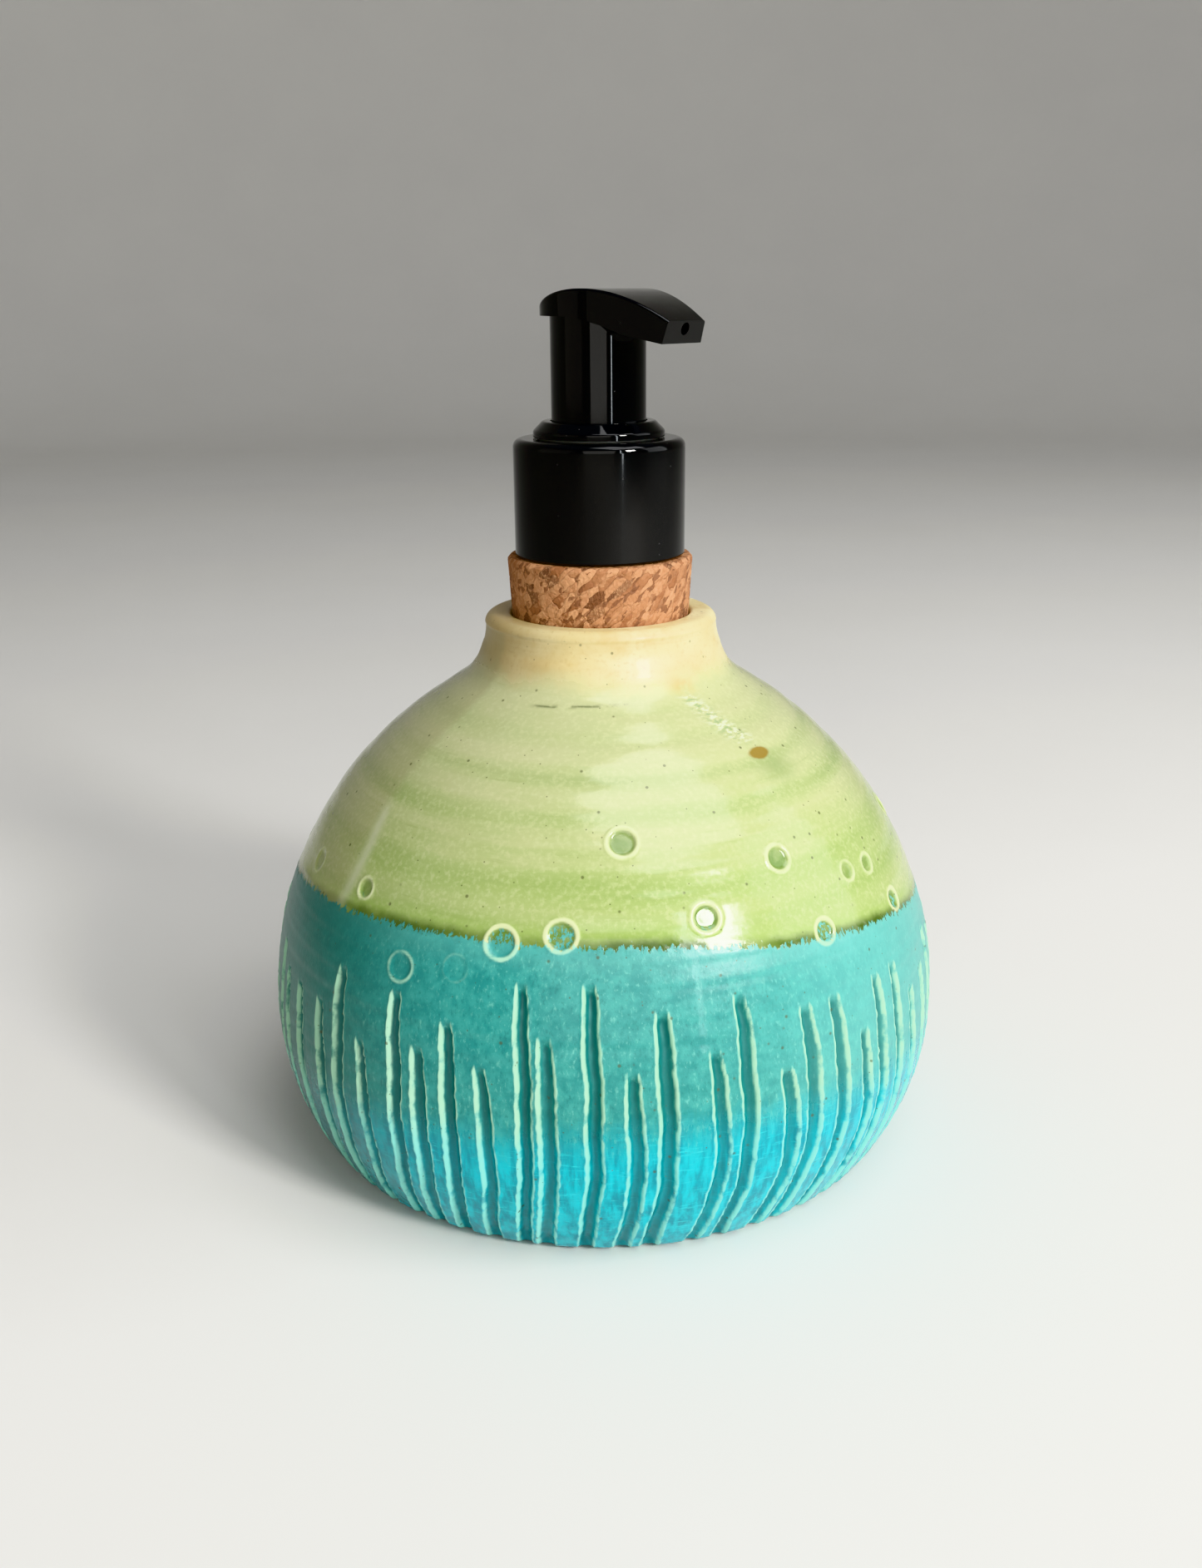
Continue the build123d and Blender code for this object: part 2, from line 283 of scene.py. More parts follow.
def bottle_profile():
    """Radius and height from the middle of the foot, over the rim, to the middle of the inside floor."""
    foot_radius = float(outer_radius(np.array(0.0)))
    under_r = np.concatenate([np.linspace(0.2 * MM, FOOT_RING_INSIDE, 14, endpoint=False),
                              np.linspace(FOOT_RING_INSIDE, foot_radius, 24, endpoint=False)])
    under_z = FOOT_RECESS * (1 - smooth(FOOT_RING_INSIDE, FOOT_RING_INSIDE + 3 * MM, under_r))
    edge_z = FOOT_EDGE * (1 - np.cos(np.linspace(0, math.pi / 2, 8, endpoint=False)))
    rim_start = RIM_HEIGHT - RIM_ROUND
    steps = np.linspace(FOOT_EDGE, rim_start, 1200)
    lengths = np.concatenate([[0], np.cumsum(np.hypot(np.diff(outer_radius(steps)), np.diff(steps)))])
    rows = int(lengths[-1] / (0.32 * MM))
    body_z = np.interp(np.linspace(0, lengths[-1], rows), lengths, steps)
    lip = float(outer_radius(np.array(rim_start)))
    top_r, top_z = arc_points((lip - RIM_ROUND, rim_start), RIM_ROUND, 0, 90, 14)
    mouth = cork_radius_at(RIM_HEIGHT) + MOUTH_GAP
    flat_r = np.linspace(top_r[-1], mouth + MOUTH_ROUND, 5)[1:-1]
    in_r, in_z = arc_points((mouth + MOUTH_ROUND, RIM_HEIGHT - MOUTH_ROUND), MOUTH_ROUND, 90, 180, 8)
    bore_z = np.linspace(RIM_HEIGHT - MOUTH_ROUND, INSIDE_CEILING, 12)[1:]
    bore_r = cork_radius_at(bore_z) + MOUTH_GAP
    inside_z = np.linspace(INSIDE_CEILING, FLOOR_HEIGHT, 60)[1:]
    fall = np.maximum(FLOOR_HEIGHT + FLOOR_ROUND - inside_z, 0) / FLOOR_ROUND
    inside_r = body_radius(inside_z, WALL) - FLOOR_ROUND * (1 - np.sqrt(np.maximum(1 - fall**2, 0)))
    inside_r = np.maximum(inside_r, NECK_INSIDE)
    floor_r = np.linspace(inside_r[-1], 0.2 * MM, 12)[1:]
    radius = np.concatenate([under_r, outer_radius(edge_z), outer_radius(body_z), top_r[1:], flat_r, in_r,
                             bore_r, inside_r, floor_r])
    height = np.concatenate([under_z, edge_z, body_z, top_z[1:], 0 * flat_r + RIM_HEIGHT, in_z,
                             bore_z, inside_z, 0 * floor_r + FLOOR_HEIGHT])
    outer = np.concatenate([np.zeros(len(under_r)), np.ones(len(edge_z) + rows), np.zeros(len(radius))])
    return radius, height, outer[: len(radius)].astype(bool)


FLUTES = (  # azimuth in degrees and top height in mm, from the left round to the right
    (-59.5, 35), (-52, 35), (-46.7, 41.5), (-40.8, 32.2), (-34.2, 41), (-29.3, 34), (-24.4, 38.5),
    (-18.6, 33), (-12.8, 45), (-8.8, 38), (-2.2, 45.3), (4, 33.3), (8.7, 41.5), (16.5, 35.3),
    (21.2, 42.5), (28.3, 30.7), (32.6, 39), (38.5, 39), (44.5, 32), (49, 39), (54.5, 39), (60.5, 33),
)
FLUTES_BEHIND = 41


def flute_fields(angle, radius, height, outer):
    """Depth of the carved flutes at each grid point, and how near it is to a flute's edge."""
    source = np.random.default_rng(21)
    step = (360 - FLUTES[-1][0] + FLUTES[0][0]) / (FLUTES_BEHIND + 1)
    behind = [(FLUTES[-1][0] + (k + 1) * step + source.uniform(-0.9, 0.9),
               (40.5 if k % 2 else 33.5) + source.uniform(-2.5, 3.5)) for k in range(FLUTES_BEHIND)]
    groove = np.zeros((len(radius), len(angle)))
    edge = np.zeros_like(groove)
    for azimuth, top in list(FLUTES) + behind:
        up = height / MM
        lean, bend = source.uniform(-0.5, 0.3), source.uniform(0.7, 1.4)
        wander = sum(0.011 * length * source.uniform(0.4, 1)
                     * np.sin(TAU * up / length + source.uniform(0, TAU)) for length in (2.3, 5.3, 13.0))
        line = azimuth + bend * np.sin(math.pi * np.clip(up / top, 0, 1)) - 1.2 * (1 - smooth(0, 16, up))
        line = np.radians(line + lean * (1 - up / top) + wander)
        swell = 1 + sum(source.uniform(0.01, 0.035) * np.sin(TAU * up / length + source.uniform(0, TAU))
                        for length in (1.9, 4.7, 9.0))
        open_up = np.sqrt(np.clip((top - up) / 9, 0, 1))
        width = FLUTE_HALF_WIDTH * source.uniform(0.88, 1.12) * swell * (0.62 + 0.38 * open_up)
        across = turn_between(angle[None, :], line[:, None]) * radius[:, None] / width[:, None]
        depth = smooth(0, 2.2, top - up)[:, None] * source.uniform(0.85, 1.1)
        cut = np.clip(1 - across**2, 0, 1) ** 0.8 * depth
        begun = smooth(-0.6, 1.2, top - up)[:, None]
        rim = np.maximum(bump_at(across, -0.96, 0.25), 0.9 * bump_at(across, 0.98, 0.22)) * begun
        groove = np.maximum(groove, cut)
        edge = np.maximum(edge, rim)
    groove[~outer] = 0
    edge[~outer] = 0
    return groove, edge


STAMPS = (  # azimuth in degrees, height and radius in mm, depth
    (4, 62.3, 2.3, 0.9), (-16.8, 49.7, 2.4, 1.0), (-6.8, 51.2, 2.3, 1.0), (-47.3, 52.2, 1.7, 0.8),
    (-67, 51.8, 2.0, 0.5), (-34.2, 44.0, 2.2, 0.6), (-24, 45.5, 2.0, 0.3), (35.1, 58.1, 2.1, 1.0),
    (50.9, 53.5, 1.6, 0.7), (58, 52.8, 1.6, 0.7), (17.7, 52.6, 2.2, 1.0), (39.9, 47.5, 1.9, 1.0),
    (62.3, 46.1, 1.8, 0.9), (85, 55.0, 2.1, 0.9), (97, 48.5, 2.3, 1.0), (118, 58.0, 2.0, 0.8),
    (131, 47.0, 2.2, 1.0), (150, 52.5, 1.9, 0.8), (163, 44.5, 2.3, 0.9), (184, 56.0, 2.2, 0.9),
    (201, 47.5, 2.0, 1.0), (219, 51.0, 2.3, 0.8), (238, 45.5, 2.0, 0.9), (252, 57.0, 2.1, 0.7),
    (266, 49.0, 2.3, 1.0),
)


def stamp_fields(angle, radius, height, length, outer):
    """Pale ring and pooled centre of the small round stamps."""
    ring = np.zeros((len(radius), len(angle)))
    pool = np.zeros_like(ring)
    rows = np.where(outer)[0]
    for azimuth, up, size, depth in STAMPS:
        row = rows[np.argmin(np.abs(height[rows] - up * MM))]
        across = turn_between(angle[None, :], math.radians(azimuth)) * radius[row]
        along = (length - length[row])[:, None]
        away = np.hypot(across, along) / MM
        ring = np.maximum(ring, depth * bump_at(away, size, 0.36))
        pool = np.maximum(pool, depth * (1 - smooth(size - 0.75, size - 0.1, away)))
    ring[~outer] = 0
    pool[~outer] = 0
    return ring, pool


RING_VALLEYS = ((51.5, 1.7), (57.0, 1.9), (65.3, 1.5), (69.8, 0.9), (74.2, 1.2))  # height and width in mm


def kiln_marks(azimuth, height, outer):
    """The firing's accidents on the shoulder: an iron spot, a pale crackled run and a rust stain; with them
    a painted reflection streak and painted shade on the left of the shoulder.
    """
    up = height / MM
    shown = outer[:, None]

    def spot(at, level, across, along):
        return np.exp(-(((azimuth - at) / across) ** 2) - ((up - level) / along) ** 2) * shown

    run_at = 38.0 + (76.5 - up) * 1.4
    run = bump_at(azimuth, run_at, 3.6) * smooth(70.8, 72.4, up) * (1 - smooth(77, 78.5, up)) * shown
    hairline = bump_at(up, 77.3 + 0.012 * azimuth, 0.13) * smooth(-29, -24, azimuth)
    hairline = hairline * (1 - smooth(8, 14, azimuth)) * shown
    # painted reflection: a pale curved streak down the left of the shoulder
    pale = bump_at(azimuth, -52.5 + np.sin(up / 4), 1.5) * smooth(47, 51, up) * (1 - smooth(61, 64, up))
    # painted shade: the shoulder turns greyer and darker to the left of that streak
    painted_left_shade = smooth(50, 56, -azimuth) * (1 - smooth(90, 140, -azimuth)) * smooth(36, 40, up) * shown
    return {"painted_left_shade": painted_left_shade, "iron": spot(46.0, 70.0, 4.0, 0.72), "halo": spot(48.0, 68.0, 6.0, 1.8),
            "stain": spot(37.0, 79.0, 6.0, 1.2), "run": run, "hairline": hairline, "painted_reflection_streak": pale * shown}


def glaze_lines(angle):
    """Height round the pot of the line where the two glazes meet, and of the lower dip's edge."""
    meeting = (43.0 + 6.8 * np.cos(angle + math.radians(18)) + 0.2 * np.sin(5 * angle + 1)
               + 0.15 * np.sin(9 * angle))
    lower_dip = 16.5 + 5.5 * np.cos(angle - math.radians(15)) + 0.5 * np.sin(5 * angle)
    return meeting * MM, lower_dip * MM


def throwing_rings(angle, up):
    """The potter's rings: how deep each point lies in a valley, and the finer ripple."""
    spiral = up + 0.7 * MM * np.sin(angle + 2.2) + 0.35 * MM * np.sin(2 * angle)
    valleys = sum(bump_at(spiral, height * MM, width * MM) for height, width in RING_VALLEYS)
    valleys = valleys * (0.75 + 0.25 * waves(angle, up, 3, 5, 3, 12 * MM))
    return valleys, waves(angle, spiral, 4, 6, 1, 2.2 * MM)


def make_bottle():
    """The thrown bottle: rings of the throwing, carved flutes, stamps, and two overlapping glazes."""
    angle = np.arange(WALL_COLUMNS) / WALL_COLUMNS * TAU
    radius, height, outer = bottle_profile()
    length = np.concatenate([[0], np.cumsum(np.hypot(np.diff(radius), np.diff(height)))])
    groove, edge = flute_fields(angle, radius, height, outer)
    ring, pool = stamp_fields(angle, radius, height, length, outer)

    grid_angle = angle[None, :]
    up = height[:, None]
    meeting, lower_dip = glaze_lines(grid_angle)
    line = (up - meeting) / MM
    dip = (up - lower_dip) / MM

    valleys, ripple = throwing_rings(grid_angle, up)
    dents = waves(grid_angle, up, 5, 9, 4, 26 * MM)
    wall = -THROWING_DEPTH * valleys + FINE_RING_DEPTH * ripple + DENT_DEPTH * dents - WALL_SET_BACK
    lip_fade = smooth(0, 4 * MM, RIM_HEIGHT - up) * smooth(-0.5 * MM, 2 * MM, up)
    ragged = line + 0.35 * waves(grid_angle, up, 11, 12, 160, 2 * MM)
    glaze = GLAZE_STEP * (1 - smooth(-0.5, 0.4, ragged)) + GLAZE_ROLL * bump_at(line, 0.8, 0.7)
    offset = outer[:, None] * (wall * lip_fade + glaze * smooth(0, 3 * MM, up))
    offset -= FLUTE_DEPTH * groove * smooth(-0.2 * MM, 0.8 * MM, up)
    offset += FLUTE_BURR * edge * smooth(0, 2 * MM, up)
    offset += STAMP_RAISED * ring - STAMP_SUNK * pool

    bottle = turned_object("glazed_bottle", radius, height, WALL_COLUMNS, offset)
    row = np.arange(len(outer))
    inside = np.cumsum(~outer & (row > FOOT_ROWS)) > LIP_ROWS
    # rightward is the sine of the azimuth; the glaze uses it for painted shade on the left side and painted
    # light on the right
    fields = {"groove": groove, "edge": edge, "ring": ring, "pool": pool, "line": line, "dip": dip,
              "rightward": np.sin(grid_angle), "valley": valleys, "inside": inside[:, None]}
    fields.update(kiln_marks(np.degrees(turn_between(grid_angle, 0.0)), up, outer))
    for name, values in fields.items():
        set_attribute(bottle, name, values * np.ones_like(groove))
    return bottle


# ---------------------------------------------------------------- glaze
OLIVE = (0.200, 0.280, 0.085)
DARK_OLIVE = (0.040, 0.080, 0.006)
POOLED_GREEN = (0.105, 0.185, 0.035)
RUST = (0.235, 0.165, 0.040)
PALE_CREAM = (0.70, 0.645, 0.385)
SHADED_TEAL = (0.006, 0.092, 0.068)
IRON = (0.06, 0.065, 0.02)


def green_glaze(s, height, grain):
    """Green glaze, stronger where it pooled in the throwing rings and towards its lower edge."""
    line, pool = s.attribute("line"), s.attribute("pool")
    depth = s.add(s.times(s.attribute("valley"), 0.34), s.times(grain["banded"], 0.55),
                  s.times(grain["broad"], 0.38), s.times(grain["streaks"], 0.20))
    green = s.mix(s.ramp(depth, 0.40, 0.80), (0.405, 0.425, 0.225), (0.310, 0.370, 0.155))
    green = s.mix(s.ramp(depth, 0.66, 1.15), green, OLIVE)
    green = s.mix(s.ramp(height, 66.0, 52.0, 0.0, 0.55), green, (0.270, 0.360, 0.110))
    green = s.mix(s.ramp(height, 62.0, 74.0, 0.0, 0.50), green, (0.43, 0.44, 0.255))
    green = s.mix(s.ramp(grain["fine"], 0.42, 0.75, 0.0, 0.30), green, (0.55, 0.56, 0.33))
    green = s.mix(s.ramp(grain["streaks"], 0.60, 0.78, 0.0, 0.22), green, (0.22, 0.27, 0.09))
    near = s.add(line, s.times(grain["medium"], 1.0), -0.4)
    pooling = s.times(s.ramp(near, 1.9, 0.35), s.ramp(grain["broad"], 0.32, 0.56, 0.45, 1.0))
    green = s.mix(s.times(s.ramp(near, 4.0, 1.0), 0.45), green, (0.20, 0.32, 0.055))
    green = s.mix(s.times(pooling, 0.94), green, DARK_OLIVE)
    return s.mix(s.times(pool, s.ramp(grain["medium"], 0.3, 0.6, 0.55, 0.95)), green, POOLED_GREEN)


def bare_neck(s, grain):
    """Cream clay of the neck, mottled with brown, with painted shade darkening its left side."""
    cream = s.mix(s.ramp(grain["broad"], 0.4, 0.65), (0.60, 0.515, 0.265), PALE_CREAM)
    cream = s.mix(s.ramp(grain["fine"], 0.50, 0.78, 0.0, 0.55), cream, (0.40, 0.29, 0.13))
    cream = s.mix(s.ramp(grain["banded"], 0.5, 0.7, 0.0, 0.35), cream, (0.50, 0.40, 0.19))
    cream = s.mix(s.ramp(s.noise(130, 4, 0.65), 0.48, 0.70, 0.0, 0.6), cream, (0.50, 0.375, 0.150))
    # painted shade: the cream turns darker brown towards the left side
    return s.mix(s.times(s.ramp(s.attribute("rightward"), 0.0, -0.87), 0.75), cream, (0.34, 0.245, 0.105))


def marked(s, upper, grain):
    """The kiln's accidents over the green glaze and the neck, with a painted reflection streak and painted
    shade on the left of the shoulder.
    """
    medium = grain["medium"]
    run = s.attribute("run")
    dashes = s.noise(1.0, 3, 0.6, s.scaled(700, 700, 2600))
    stain = s.times(s.attribute("stain"), s.ramp(medium, 0.35, 0.6, 0.1, 0.6))
    iron = s.ramp(s.add(s.attribute("iron"), s.times(medium, 0.5)), 0.52, 0.80)
    hairline = s.times(s.attribute("hairline"), s.ramp(medium, 0.4, 0.55), 0.85)
    upper = s.mix(stain, upper, (0.50, 0.34, 0.10))
    upper = s.mix(s.times(s.attribute("halo"), 0.5), upper, (0.14, 0.22, 0.06))
    upper = s.mix(s.times(run, s.ramp(dashes, 0.50, 0.60), 0.85), upper, (0.68, 0.72, 0.56))
    upper = s.mix(s.times(run, s.ramp(dashes, 0.48, 0.38), 0.65), upper, (0.20, 0.30, 0.15))
    upper = s.mix(iron, upper, RUST)
    upper = s.mix(hairline, upper, (0.10, 0.12, 0.05))
    # painted reflection: the pale streak on the left of the shoulder
    upper = s.mix(s.times(s.attribute("painted_reflection_streak"), 0.55), upper, (0.52, 0.54, 0.38))
    # painted shade: greyer and darker on the left of the shoulder
    return s.mix(s.times(s.attribute("painted_left_shade"), 0.4), upper, (0.27, 0.25, 0.13))


def turquoise_glaze(s, low, grain):
    """Turquoise, matt and mottled above the lower dip's edge, clear and strong below it, with painted light
    on its right side and painted shade on its left.
    """
    crystals, rightward = grain["crystals"], s.attribute("rightward")
    crackle = s.noise(1.0, 4, 0.7, s.scaled(300, 300, 2600))
    teal = s.mix(s.ramp(s.noise(480, 5, 0.6), 0.34, 0.66), (0.018, 0.205, 0.190), (0.040, 0.280, 0.250))
    teal = s.mix(s.ramp(crystals, 0.54, 0.74, 0.0, 0.65), teal, (0.140, 0.44, 0.37))
    teal = s.mix(s.ramp(crystals, 0.46, 0.30, 0.0, 0.55), teal, (0.010, 0.135, 0.130))
    teal = s.mix(s.ramp(s.attribute("line"), -5.0, -0.3, 0.0, 0.30), teal, (0.12, 0.38, 0.34))
    # painted light: the matt teal is lighter towards the right side
    teal = s.mix(s.ramp(rightward, 0.25, 0.77, 0.0, 0.45), teal, (0.13, 0.43, 0.39))
    clear = s.mix(s.ramp(grain["flow"], 0.32, 0.68), (0.0, 0.225, 0.285), (0.0, 0.450, 0.530))
    clear = s.mix(s.ramp(crackle, 0.54, 0.72, 0.0, 0.6), clear, (0.03, 0.64, 0.69))
    clear = s.mix(s.ramp(crystals, 0.45, 0.30, 0.0, 0.35), clear, (0.0, 0.20, 0.25))
    # darker in the flutes: partly glaze pooled in them, partly painted shade
    sunk = s.mix(low, (0.0, 0.110, 0.105), (0.0, 0.155, 0.175))
    lower = s.mix(s.times(s.ramp(s.attribute("groove"), 0.30, 0.95), 0.75), s.mix(low, teal, clear), sunk)
    # painted shade: the turquoise is darker towards the left side
    return s.mix(s.ramp(rightward, -0.37, -0.88, 0.0, 0.75), lower, SHADED_TEAL)


def thin_edges(s, colour, over, low, medium):
    """Thin pale glaze on every cut edge and round every stamp, darker on the left side where shade is
    painted.
    """
    broken = s.times(s.attribute("edge"), s.ramp(medium, 0.30, 0.55, 0.4, 1.0))
    rings = s.times(s.attribute("ring"), s.ramp(medium, 0.3, 0.6, 0.5, 0.95))
    thin = s.math("MINIMUM", s.add(broken, rings), 1.0)
    pale = s.mix(low, (0.40, 0.68, 0.49), (0.25, 0.70, 0.62))
    # painted shade: the pale edges are darker towards the left side
    pale = s.mix(s.ramp(s.attribute("rightward"), -0.5, -0.87, 0.0, 0.6), pale, (0.18, 0.36, 0.22))
    pale = s.mix(over, (0.60, 0.65, 0.38), pale)
    return s.mix(s.times(s.ramp(thin, 0.12, 0.72), 0.90), colour, pale)


def iron_specks(s, colour):
    """Dark specks of two sizes that burnt through from the clay."""
    for scale, share in ((420, 0.62), (900, 0.80)):
        speck = s.cells(scale)
        shade = s.node("SeparateColor", Color=speck.outputs["Color"]).outputs[0]
        chosen = s.ramp(shade, share, share + 0.03)
        dots = s.times(s.ramp(speck.outputs["Distance"], 0.15, 0.06), chosen)
        colour = s.mix(s.times(dots, 0.7), colour, IRON)
    return colour


def glaze_material():
    """Green glaze over turquoise, pooled in the cuts, which also carry painted shade, and thin on the
    edges, on a cream neck; painted shade darkens the left side and painted light brightens the right.
    """
    s = Shader("two_glazes")
    height = s.times(s.node("SeparateXYZ", Vector=s.position).outputs[2], 1000.0)
    line, dip = s.attribute("line"), s.attribute("dip")
    grain = {
        "fine": s.noise(1400, 4),
        "medium": s.noise(330, 4),
        "broad": s.noise(60, 3),
        "banded": s.noise(1.0, 4, 0.6, s.scaled(22, 22, 420), 0.3),
        "streaks": s.noise(1.0, 3, 0.6, s.scaled(60, 60, 1500)),
        "crystals": s.noise(1.0, 4, 0.65, s.scaled(2100, 2100, 900)),
        "flow": s.noise(1.0, 4, 0.6, s.scaled(900, 900, 90)),
    }
    fine, medium, crystals = grain["fine"], grain["medium"], grain["crystals"]

    bare = s.ramp(s.add(height, s.times(medium, 2.5), s.times(grain["broad"], 5.0)), 81.0, 85.5)
    upper = marked(s, s.mix(bare, green_glaze(s, height, grain), bare_neck(s, grain)), grain)
    ragged = s.add(dip, s.times(medium, 2.5), s.times(grain["flow"], 7.0), s.times(crystals, 4.0))
    low = s.ramp(ragged, 12.5, 3.0)
    lower = turquoise_glaze(s, low, grain)

    teeth = s.noise(1.0, 3, 0.6, s.scaled(1900, 1900, 260))
    over = s.ramp(s.add(line, s.times(s.add(teeth, -0.5), 3.6)), 0.22, -0.12)
    patch = s.times(s.attribute("pool"), s.ramp(crystals, 0.5, 0.56), s.ramp(line, 3.2, 2.0))
    over = s.math("MAXIMUM", over, patch)
    colour = thin_edges(s, s.mix(over, upper, lower), over, low, medium)
    colour = iron_specks(s, colour)

    foot = s.times(s.ramp(height, 0.12, 0.03), s.ramp(dip, 3.0, 0.0))
    clay = s.mix(medium, (0.62, 0.52, 0.38), (0.74, 0.66, 0.52))
    colour = s.mix(foot, colour, clay)
    colour = s.mix(s.attribute("inside"), colour, (0.55, 0.58, 0.34))

    rough = s.mix(over, (0.12,) * 3, s.mix(low, (0.33,) * 3, (0.12,) * 3))
    rough = s.mix(bare, rough, (0.40,) * 3)
    rough = s.mix(foot, rough, (0.8,) * 3)
    rough = s.add(rough, s.times(fine, 0.06))
    surface = s.add(s.times(medium, 0.5), s.times(fine, 0.22), s.times(over, crystals, 0.6))
    return s.principled(Base_Color=colour, Roughness=rough, Normal=s.bump(surface, 0.45, 0.12 * MM),
                        IOR=1.5, Coat_Weight=0.12, Coat_Roughness=0.05)


# ---------------------------------------------------------------- cork
def make_cork():
    """The pressed cork, with pits and cracks between the granules in the side and top that show."""
    low, high = cork_low[2], cork_high[2]
    side_z = np.linspace(low + CORK_EDGE, high - CORK_EDGE, 150)
    top_r = np.linspace(CORK_RADIUS - CORK_EDGE, CORK_BORE, 26)
    bottom_r = np.linspace(CORK_BORE, cork_radius_at(low) - CORK_EDGE, 14)
    hole_z = np.linspace(high, low, 24)[1:-1]
    radius = np.concatenate([bottom_r, cork_radius_at(side_z) - 0.02 * MM, top_r, 0 * hole_z + CORK_BORE])
    height = np.concatenate([0 * bottom_r + low, side_z, 0 * top_r + high, hole_z])
    radius = np.append(radius, radius[0])
    height = np.append(height, height[0])
    angle = np.arange(CORK_COLUMNS) / CORK_COLUMNS * TAU
    offset = np.zeros((len(radius), CORK_COLUMNS))
    for row in range(len(bottom_r), len(bottom_r) + len(side_z) + len(top_r)):
        r, z = radius[row], height[row]
        if r < CORK_BORE + 0.2 * MM or z <= RIM_HEIGHT - 1 * MM:
            continue
        for column in range(CORK_COLUMNS):
            a = angle[column]
            p = Vector((r * math.sin(a), -r * math.cos(a), z))
            tilted = Vector((p.x + 0.5 * p.z, p.y + 0.35 * p.z, p.z * 1.4)) * 620
            near, _ = noise.voronoi(tilted)
            pit = max(0.0, noise.noise(p * 900) - 0.28)
            crack = max(0.0, 0.16 - (near[1] - near[0]))
            offset[row, column] = -(0.35 * pit + 0.9 * crack) * 0.55 * MM
    return turned_object("cork_plug", radius, height, CORK_COLUMNS, offset)


def cork_material():
    """Pressed granules in several browns, with dark gaps."""
    s = Shader("pressed_cork")
    tilt = s.node("Mapping", {"vector_type": "TEXTURE"}, Vector=s.position, Rotation=(0.2, -0.8, 0.3),
                  Scale=(2.0, 1.1, 0.85)).outputs[0]
    wander = s.node("TexNoise", Vector=tilt, Scale=900, Detail=2).outputs["Color"]
    shift = s.node("VectorMath", {"operation": "SCALE"})
    s.put(shift.inputs[0], wander)
    shift.inputs["Scale"].default_value = 0.0009
    warp = s.node("VectorMath", {"operation": "ADD"})
    s.put(warp.inputs[0], tilt)
    s.put(warp.inputs[1], shift.outputs[0])
    place = warp.outputs[0]
    pick = s.node("SeparateColor", Color=s.cells(640, vector=place).outputs["Color"])
    small = s.node("SeparateColor", Color=s.cells(1500, vector=place).outputs["Color"])
    gaps = s.cells(640, "DISTANCE_TO_EDGE", vector=place).outputs["Distance"]
    fibre = s.noise(1.0, 4, 0.65, s.scaled(2600, 2600, 1500))
    colour = s.mix(s.ramp(pick.outputs[0], 0.05, 0.95), (0.27, 0.110, 0.045), (0.52, 0.265, 0.130))
    colour = s.mix(s.ramp(pick.outputs[1], 0.72, 0.9, 0.0, 0.8), colour, (0.60, 0.325, 0.165))
    colour = s.mix(s.ramp(small.outputs[1], 0.60, 0.95, 0.0, 0.55), colour, (0.55, 0.295, 0.150))
    colour = s.mix(s.ramp(small.outputs[0], 0.80, 0.9, 0.0, 0.8), colour, (0.12, 0.042, 0.018))
    dark = s.times(s.ramp(pick.outputs[2], 0.86, 0.92), s.ramp(fibre, 0.3, 0.6))
    colour = s.mix(s.times(dark, 0.85), colour, (0.085, 0.030, 0.014))
    colour = s.mix(s.ramp(gaps, 0.07, 0.0, 0.0, 0.22), colour, (0.16, 0.06, 0.028))
    colour = s.mix(s.ramp(fibre, 0.3, 0.7, 0.0, 0.45), colour, (0.30, 0.130, 0.058))
    height = s.add(s.times(s.ramp(gaps, 0.0, 0.12), 0.25), s.times(pick.outputs[1], 0.3),
                   s.times(fibre, 0.5), s.times(small.outputs[2], 0.3), s.times(dark, -0.8))
    normal = s.bump(height, 0.9, 0.3 * MM)
    return s.principled(Base_Color=colour, Roughness=s.ramp(fibre, 0.2, 0.8, 0.7, 0.95), Normal=normal)


# ---------------------------------------------------------------- pump materials
def black_plastic():
    """Glossy black mouldings with faint hairlines and a little dust."""
    s = Shader("polished_black")
    hair = s.noise(1.0, 5, 0.75, s.scaled(500, 500, 3800))
    waviness = s.noise(70, 2)
    dust = s.cells(1000)
    bright = s.node("SeparateColor", Color=dust.outputs["Color"]).outputs[1]
    grains = s.times(s.ramp(dust.outputs["Distance"], 0.16, 0.05), s.ramp(bright, 0.93, 0.95))
    colour = s.mix(s.times(grains, 0.4), (0.0012, 0.0013, 0.0016), (0.12, 0.12, 0.12))
    rough = s.add(s.ramp(hair, 0.5, 0.8, 0.055, 0.11), s.times(grains, 0.3))
    normal = s.bump(s.add(waviness, s.times(hair, 0.04)), 0.10, 0.25 * MM)
    return s.principled(Base_Color=colour, Roughness=rough, Normal=normal, IOR=1.4)


def natural_plastic(name, tint, rough, see_through=0.25):
    """Uncoloured moulded plastic, slightly cloudy."""
    s = Shader(name)
    cloud = s.noise(240, 4)
    grain = s.noise(2600, 3)
    colour = s.mix(s.ramp(cloud, 0.3, 0.7), tint, tuple(c * 0.88 for c in tint))
    normal = s.bump(grain, 0.2, 0.05 * MM)
    return s.principled(Base_Color=colour, Roughness=s.ramp(grain, 0.3, 0.7, rough, rough + 0.12),
                        Normal=normal, Transmission_Weight=see_through, IOR=1.49)


def steel(name, stretch):
    """Drawn or polished stainless steel."""
    s = Shader(name)
    drawn = s.noise(1.0, 4, 0.6, s.scaled(*stretch))
    colour = s.mix(s.ramp(drawn, 0.3, 0.7), (0.56, 0.57, 0.58), (0.70, 0.70, 0.70))
    return s.principled(Base_Color=colour, Metallic=1.0, Roughness=s.ramp(drawn, 0.3, 0.7, 0.16, 0.3),
                        Normal=s.bump(drawn, 0.15, 0.02 * MM))


